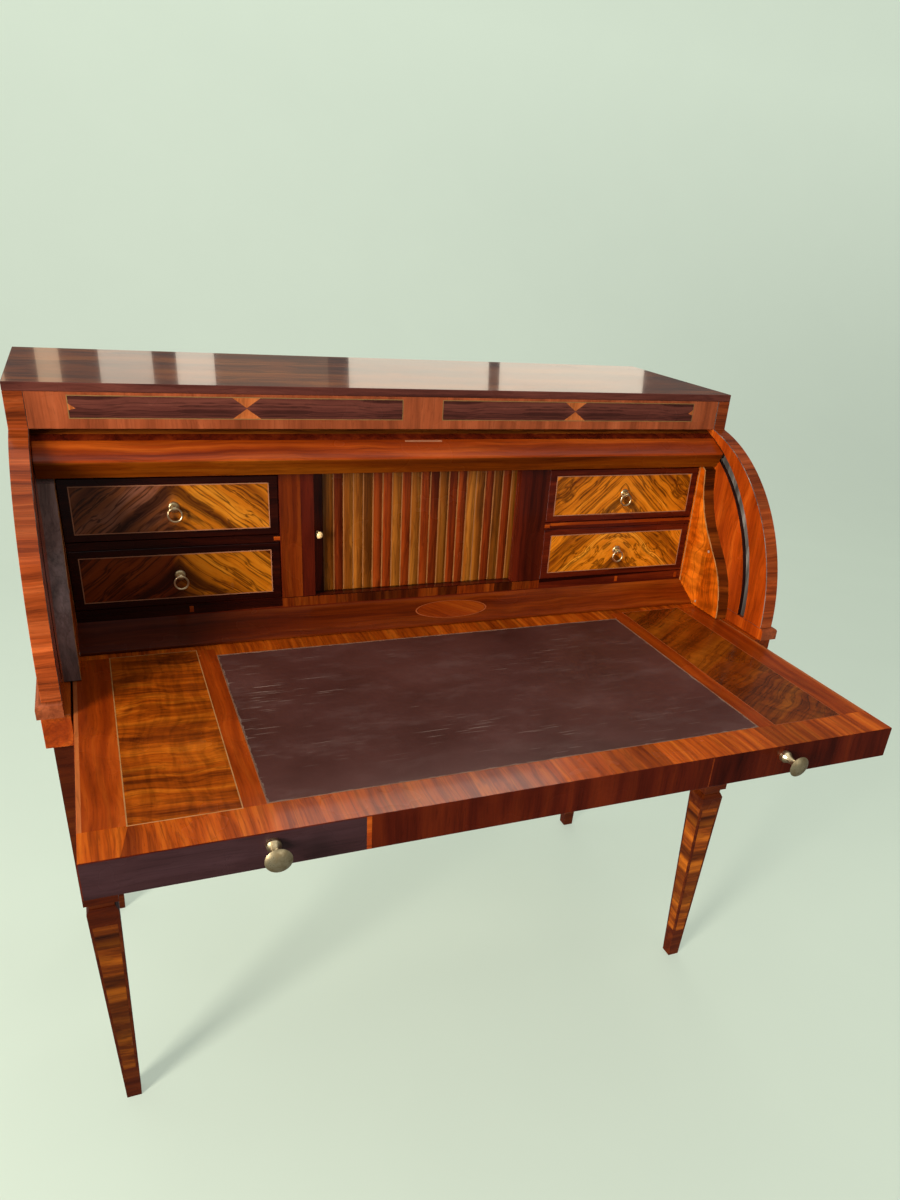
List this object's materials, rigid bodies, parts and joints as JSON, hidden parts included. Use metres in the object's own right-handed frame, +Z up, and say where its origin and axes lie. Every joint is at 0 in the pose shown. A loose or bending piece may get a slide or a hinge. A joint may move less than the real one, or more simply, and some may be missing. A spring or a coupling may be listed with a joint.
{
  "type": "cylinder desk",
  "caption": "Cylinder-top writing desk on tapered legs: a curved cover rolls back over small drawers and a tambour door, above a pull-out leather-topped slide.",
  "frame": {"origin": "on the floor, below the middle of the desk's box as it stands open with the slide pulled out", "axes": "+X to the right of someone facing the desk, +Y from its front to its back, +Z up"},
  "size_m": [1.196, 0.9634, 1.152],
  "materials": {
    "polished_walnut": "high gloss french polish",
    "frieze_veneer": "gloss french polish with inlaid panels",
    "banded_veneer": "satin polish, cross-banded veneer",
    "cylinder_veneer": "satin polish",
    "interior_veneer": "satin polish with pale stringing",
    "drawer_veneer": "satin polish, book-matched veneer",
    "slide_veneer": "satin polish, cross-banded veneer",
    "tambour_wood": "satin polish, slats of two woods",
    "plain_wood": "bare planed wood",
    "dark_peg": "polished end grain",
    "worn_leather": "worn and scuffed",
    "brass": "polished and handled",
    "bone": "polished"
  },
  "bodies": {
    "case": {"top_board": "polished_walnut", "frieze_rail": "frieze_veneer", "back_panel": "plain_wood", "slide_bed": "plain_wood", "middle_board": "plain_wood", "bottom_board": "plain_wood", "interior_top": "interior_veneer", "interior_bottom": "interior_veneer", "interior_back": "plain_wood", "sloped_plinth": "interior_veneer", "cheek_pegs": "dark_peg", "tambour_slats": "tambour_wood", "left_side_panel": "banded_veneer", "left_base_moulding": "banded_veneer", "left_belt_rail": "banded_veneer", "left_lower_panel": "banded_veneer", "left_cheek": "interior_veneer", "left_jamb": "interior_veneer", "left_shelf": "interior_veneer", "front_left_leg": "banded_veneer", "rear_left_leg": "banded_veneer", "right_side_panel": "banded_veneer", "right_base_moulding": "banded_veneer", "right_belt_rail": "banded_veneer", "right_lower_panel": "banded_veneer", "right_cheek": "interior_veneer", "right_jamb": "interior_veneer", "right_shelf": "interior_veneer", "front_right_leg": "banded_veneer", "rear_right_leg": "banded_veneer"},
    "cylinder": {"cylinder_shell": "cylinder_veneer", "cylinder_rail": "cylinder_veneer"},
    "slide": {"slide_board": "slide_veneer", "leather_inset": "worn_leather", "left_slide_knob": "brass", "right_slide_knob": "brass"},
    "tambour_lead": {"tambour_lead_bar": "tambour_wood", "tambour_knob": "bone"},
    "upper_left_drawer": {"upper_left_drawer_front": "drawer_veneer", "upper_left_drawer_box": "plain_wood", "upper_left_pull_boss": "brass"},
    "upper_left_ring": {"upper_left_pull_ring": "brass"},
    "lower_left_drawer": {"lower_left_drawer_front": "drawer_veneer", "lower_left_drawer_box": "plain_wood", "lower_left_pull_boss": "brass"},
    "lower_left_ring": {"lower_left_pull_ring": "brass"},
    "upper_right_drawer": {"upper_right_drawer_front": "drawer_veneer", "upper_right_drawer_box": "plain_wood", "upper_right_pull_boss": "brass"},
    "upper_right_ring": {"upper_right_pull_ring": "brass"},
    "lower_right_drawer": {"lower_right_drawer_front": "drawer_veneer", "lower_right_drawer_box": "plain_wood", "lower_right_pull_boss": "brass"},
    "lower_right_ring": {"lower_right_pull_ring": "brass"},
    "upper_long_drawer": {"upper_long_drawer_front": "drawer_veneer", "upper_long_drawer_box": "plain_wood", "upper_long_drawer_knobs": "brass"},
    "lower_long_drawer": {"lower_long_drawer_front": "drawer_veneer", "lower_long_drawer_box": "plain_wood", "lower_long_drawer_knobs": "brass"}
  },
  "joints": [
    {"name": "cylinder_turn", "type": "hinge", "parent": "case", "child": "cylinder", "pos_m": [0, 0.24555, 0.795], "axis": [-1, 0, 0], "range_deg": [-62.25, 0]},
    {"name": "slide_pull", "type": "slide", "parent": "case", "child": "slide", "axis": [0, -1, 0], "range_m": [-0.335, 0]},
    {"name": "tambour_run", "type": "slide", "parent": "case", "child": "tambour_lead", "axis": [1, 0, 0], "range_m": [0, 0.32], "deforming": ["tambour_slats"]},
    {"name": "upper_left_drawer_pull", "type": "slide", "parent": "case", "child": "upper_left_drawer", "axis": [0, -1, 0], "range_m": [0, 0.16]},
    {"name": "upper_left_ring_swing", "type": "hinge", "parent": "upper_left_drawer", "child": "upper_left_ring", "pos_m": [-0.38825, 0.11329, 0.98064], "axis": [-1, 0, 0], "range_deg": [0, 80]},
    {"name": "lower_left_drawer_pull", "type": "slide", "parent": "case", "child": "lower_left_drawer", "axis": [0, -1, 0], "range_m": [0, 0.16]},
    {"name": "lower_left_ring_swing", "type": "hinge", "parent": "lower_left_drawer", "child": "lower_left_ring", "pos_m": [-0.38825, 0.11329, 0.87488], "axis": [-1, 0, 0], "range_deg": [0, 80]},
    {"name": "upper_right_drawer_pull", "type": "slide", "parent": "case", "child": "upper_right_drawer", "axis": [0, -1, 0], "range_m": [0, 0.16]},
    {"name": "upper_right_ring_swing", "type": "hinge", "parent": "upper_right_drawer", "child": "upper_right_ring", "pos_m": [0.38825, 0.11329, 0.98064], "axis": [-1, 0, 0], "range_deg": [0, 80]},
    {"name": "lower_right_drawer_pull", "type": "slide", "parent": "case", "child": "lower_right_drawer", "axis": [0, -1, 0], "range_m": [0, 0.16]},
    {"name": "lower_right_ring_swing", "type": "hinge", "parent": "lower_right_drawer", "child": "lower_right_ring", "pos_m": [0.38825, 0.11329, 0.87488], "axis": [-1, 0, 0], "range_deg": [0, 80]},
    {"name": "upper_long_drawer_pull", "type": "slide", "parent": "case", "child": "upper_long_drawer", "axis": [0, -1, 0], "range_m": [0, 0.35]},
    {"name": "lower_long_drawer_pull", "type": "slide", "parent": "case", "child": "lower_long_drawer", "axis": [0, -1, 0], "range_m": [0, 0.35]}
  ]
}
